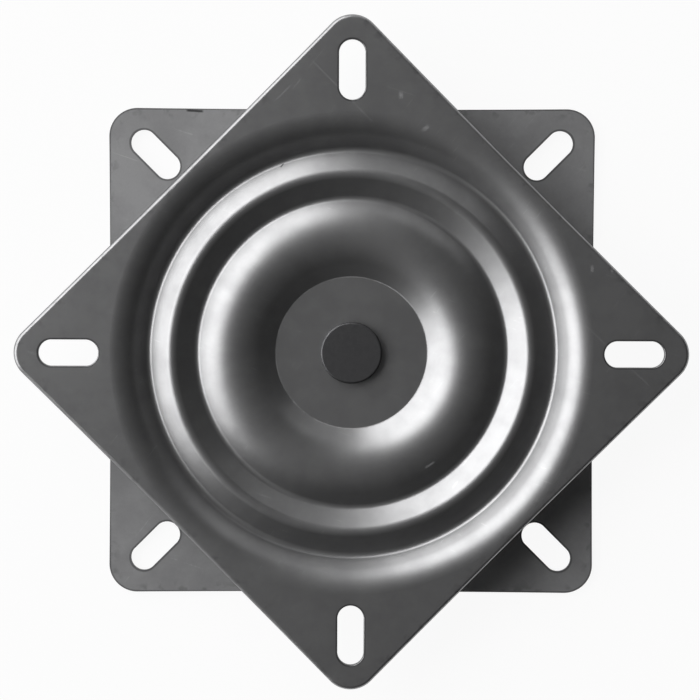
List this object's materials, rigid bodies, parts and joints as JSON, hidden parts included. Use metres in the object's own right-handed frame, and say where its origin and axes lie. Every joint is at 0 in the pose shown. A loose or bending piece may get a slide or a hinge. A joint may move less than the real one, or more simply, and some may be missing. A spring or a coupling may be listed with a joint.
{
  "type": "bar stool swivel plate",
  "caption": "Square seat swivel of pressed steel plates with slotted corners, dished around a ball race and joined by a central rivet.",
  "frame": {"origin": "swivel axis at the bottom plate's mounting face", "axes": "+Z along the swivel axis, up towards the seat; X and Y square to the bottom plate's sides"},
  "size_m": [0.2426, 0.2426, 0.024],
  "materials": {
    "plate_steel": "satin",
    "rivet_steel": "satin",
    "cage_steel": "satin",
    "ball_steel": "polished",
    "washer_nylon": "matte"
  },
  "bodies": {
    "base": {"bottom_plate": "plate_steel", "centre_rivet": "rivet_steel", "thrust_washer": "washer_nylon"},
    "top": {"top_plate": "plate_steel"},
    "cage": {"ball_cage": "cage_steel"},
    "ball_01": {"ball_01": "ball_steel"},
    "ball_02": {"ball_02": "ball_steel"},
    "ball_03": {"ball_03": "ball_steel"},
    "ball_04": {"ball_04": "ball_steel"},
    "ball_05": {"ball_05": "ball_steel"},
    "ball_06": {"ball_06": "ball_steel"},
    "ball_07": {"ball_07": "ball_steel"},
    "ball_08": {"ball_08": "ball_steel"},
    "ball_09": {"ball_09": "ball_steel"},
    "ball_10": {"ball_10": "ball_steel"},
    "ball_11": {"ball_11": "ball_steel"},
    "ball_12": {"ball_12": "ball_steel"},
    "ball_13": {"ball_13": "ball_steel"},
    "ball_14": {"ball_14": "ball_steel"},
    "ball_15": {"ball_15": "ball_steel"},
    "ball_16": {"ball_16": "ball_steel"},
    "ball_17": {"ball_17": "ball_steel"},
    "ball_18": {"ball_18": "ball_steel"},
    "ball_19": {"ball_19": "ball_steel"},
    "ball_20": {"ball_20": "ball_steel"},
    "ball_21": {"ball_21": "ball_steel"},
    "ball_22": {"ball_22": "ball_steel"},
    "ball_23": {"ball_23": "ball_steel"},
    "ball_24": {"ball_24": "ball_steel"}
  },
  "joints": [
    {"name": "seat_swivel", "type": "hinge", "parent": "base", "child": "top", "pos_m": [0, 0, 0.01199], "axis": [0, 0, 1], "continuous": true},
    {"name": "cage_turn", "type": "hinge", "parent": "base", "child": "cage", "pos_m": [0, 0, 0.01199], "axis": [0, 0, 1], "continuous": true},
    {"name": "ball_roll_01", "type": "hinge", "parent": "cage", "child": "ball_01", "pos_m": [0.06466, 0, 0.01199], "axis": [1, 0, 0], "continuous": true},
    {"name": "ball_roll_02", "type": "hinge", "parent": "cage", "child": "ball_02", "pos_m": [0.06245, 0.01673, 0.01199], "axis": [0.9659, 0.2588, 0], "continuous": true},
    {"name": "ball_roll_03", "type": "hinge", "parent": "cage", "child": "ball_03", "pos_m": [0.05599, 0.03233, 0.01199], "axis": [0.866, 0.5, 0], "continuous": true},
    {"name": "ball_roll_04", "type": "hinge", "parent": "cage", "child": "ball_04", "pos_m": [0.04572, 0.04572, 0.01199], "axis": [0.7071, 0.7071, 0], "continuous": true},
    {"name": "ball_roll_05", "type": "hinge", "parent": "cage", "child": "ball_05", "pos_m": [0.03233, 0.05599, 0.01199], "axis": [0.5, 0.866, 0], "continuous": true},
    {"name": "ball_roll_06", "type": "hinge", "parent": "cage", "child": "ball_06", "pos_m": [0.01673, 0.06245, 0.01199], "axis": [0.2588, 0.9659, 0], "continuous": true},
    {"name": "ball_roll_07", "type": "hinge", "parent": "cage", "child": "ball_07", "pos_m": [0, 0.06466, 0.01199], "axis": [0, 1, 0], "continuous": true},
    {"name": "ball_roll_08", "type": "hinge", "parent": "cage", "child": "ball_08", "pos_m": [-0.01673, 0.06245, 0.01199], "axis": [-0.2588, 0.9659, 0], "continuous": true},
    {"name": "ball_roll_09", "type": "hinge", "parent": "cage", "child": "ball_09", "pos_m": [-0.03233, 0.05599, 0.01199], "axis": [-0.5, 0.866, 0], "continuous": true},
    {"name": "ball_roll_10", "type": "hinge", "parent": "cage", "child": "ball_10", "pos_m": [-0.04572, 0.04572, 0.01199], "axis": [-0.7071, 0.7071, 0], "continuous": true},
    {"name": "ball_roll_11", "type": "hinge", "parent": "cage", "child": "ball_11", "pos_m": [-0.05599, 0.03233, 0.01199], "axis": [-0.866, 0.5, 0], "continuous": true},
    {"name": "ball_roll_12", "type": "hinge", "parent": "cage", "child": "ball_12", "pos_m": [-0.06245, 0.01673, 0.01199], "axis": [-0.9659, 0.2588, 0], "continuous": true},
    {"name": "ball_roll_13", "type": "hinge", "parent": "cage", "child": "ball_13", "pos_m": [-0.06466, 0, 0.01199], "axis": [-1, 0, 0], "continuous": true},
    {"name": "ball_roll_14", "type": "hinge", "parent": "cage", "child": "ball_14", "pos_m": [-0.06245, -0.01673, 0.01199], "axis": [-0.9659, -0.2588, 0], "continuous": true},
    {"name": "ball_roll_15", "type": "hinge", "parent": "cage", "child": "ball_15", "pos_m": [-0.05599, -0.03233, 0.01199], "axis": [-0.866, -0.5, 0], "continuous": true},
    {"name": "ball_roll_16", "type": "hinge", "parent": "cage", "child": "ball_16", "pos_m": [-0.04572, -0.04572, 0.01199], "axis": [-0.7071, -0.7071, 0], "continuous": true},
    {"name": "ball_roll_17", "type": "hinge", "parent": "cage", "child": "ball_17", "pos_m": [-0.03233, -0.05599, 0.01199], "axis": [-0.5, -0.866, 0], "continuous": true},
    {"name": "ball_roll_18", "type": "hinge", "parent": "cage", "child": "ball_18", "pos_m": [-0.01673, -0.06245, 0.01199], "axis": [-0.2588, -0.9659, 0], "continuous": true},
    {"name": "ball_roll_19", "type": "hinge", "parent": "cage", "child": "ball_19", "pos_m": [0, -0.06466, 0.01199], "axis": [0, -1, 0], "continuous": true},
    {"name": "ball_roll_20", "type": "hinge", "parent": "cage", "child": "ball_20", "pos_m": [0.01673, -0.06245, 0.01199], "axis": [0.2588, -0.9659, 0], "continuous": true},
    {"name": "ball_roll_21", "type": "hinge", "parent": "cage", "child": "ball_21", "pos_m": [0.03233, -0.05599, 0.01199], "axis": [0.5, -0.866, 0], "continuous": true},
    {"name": "ball_roll_22", "type": "hinge", "parent": "cage", "child": "ball_22", "pos_m": [0.04572, -0.04572, 0.01199], "axis": [0.7071, -0.7071, 0], "continuous": true},
    {"name": "ball_roll_23", "type": "hinge", "parent": "cage", "child": "ball_23", "pos_m": [0.05599, -0.03233, 0.01199], "axis": [0.866, -0.5, 0], "continuous": true},
    {"name": "ball_roll_24", "type": "hinge", "parent": "cage", "child": "ball_24", "pos_m": [0.06245, -0.01673, 0.01199], "axis": [0.9659, -0.2588, 0], "continuous": true}
  ],
  "couplings": [
    {"joint": "cage_turn", "follows": "seat_swivel", "ratio": 0.5},
    {"joint": "ball_roll_01", "follows": "seat_swivel", "ratio": -6.6849},
    {"joint": "ball_roll_02", "follows": "seat_swivel", "ratio": -6.6849},
    {"joint": "ball_roll_03", "follows": "seat_swivel", "ratio": -6.6849},
    {"joint": "ball_roll_04", "follows": "seat_swivel", "ratio": -6.6849},
    {"joint": "ball_roll_05", "follows": "seat_swivel", "ratio": -6.6849},
    {"joint": "ball_roll_06", "follows": "seat_swivel", "ratio": -6.6849},
    {"joint": "ball_roll_07", "follows": "seat_swivel", "ratio": -6.6849},
    {"joint": "ball_roll_08", "follows": "seat_swivel", "ratio": -6.6849},
    {"joint": "ball_roll_09", "follows": "seat_swivel", "ratio": -6.6849},
    {"joint": "ball_roll_10", "follows": "seat_swivel", "ratio": -6.6849},
    {"joint": "ball_roll_11", "follows": "seat_swivel", "ratio": -6.6849},
    {"joint": "ball_roll_12", "follows": "seat_swivel", "ratio": -6.6849},
    {"joint": "ball_roll_13", "follows": "seat_swivel", "ratio": -6.6849},
    {"joint": "ball_roll_14", "follows": "seat_swivel", "ratio": -6.6849},
    {"joint": "ball_roll_15", "follows": "seat_swivel", "ratio": -6.6849},
    {"joint": "ball_roll_16", "follows": "seat_swivel", "ratio": -6.6849},
    {"joint": "ball_roll_17", "follows": "seat_swivel", "ratio": -6.6849},
    {"joint": "ball_roll_18", "follows": "seat_swivel", "ratio": -6.6849},
    {"joint": "ball_roll_19", "follows": "seat_swivel", "ratio": -6.6849},
    {"joint": "ball_roll_20", "follows": "seat_swivel", "ratio": -6.6849},
    {"joint": "ball_roll_21", "follows": "seat_swivel", "ratio": -6.6849},
    {"joint": "ball_roll_22", "follows": "seat_swivel", "ratio": -6.6849},
    {"joint": "ball_roll_23", "follows": "seat_swivel", "ratio": -6.6849},
    {"joint": "ball_roll_24", "follows": "seat_swivel", "ratio": -6.6849}
  ]
}
